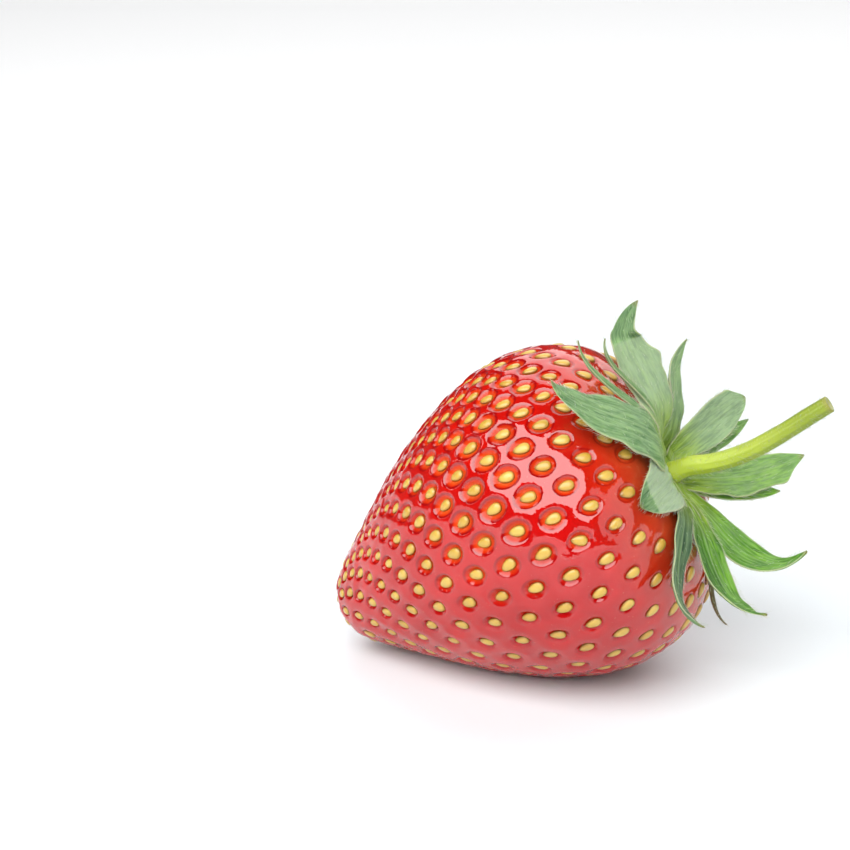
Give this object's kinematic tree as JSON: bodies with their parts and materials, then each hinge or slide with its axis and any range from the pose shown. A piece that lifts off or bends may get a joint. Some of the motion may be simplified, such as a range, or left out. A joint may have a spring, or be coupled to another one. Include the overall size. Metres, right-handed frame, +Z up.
{
  "type": "strawberry",
  "caption": "Whole fresh strawberry lying on its side, a conical red berry pitted with seeds, with its spread green calyx and a short bent stem.",
  "frame": {"origin": "centre of the small flat spot that the berry rests on", "axes": "+X level, from the berry's tip towards its stem end; +Y level, to the side away from the viewer of the picture; +Z up"},
  "size_m": [0.055, 0.0368, 0.0429],
  "materials": {
    "ripe_skin": "glossy",
    "calyx_green": "matt",
    "stem_green": "satin"
  },
  "bodies": {
    "root": {"berry": "ripe_skin", "calyx": "calyx_green", "stem": "stem_green"}
  },
  "joints": []
}
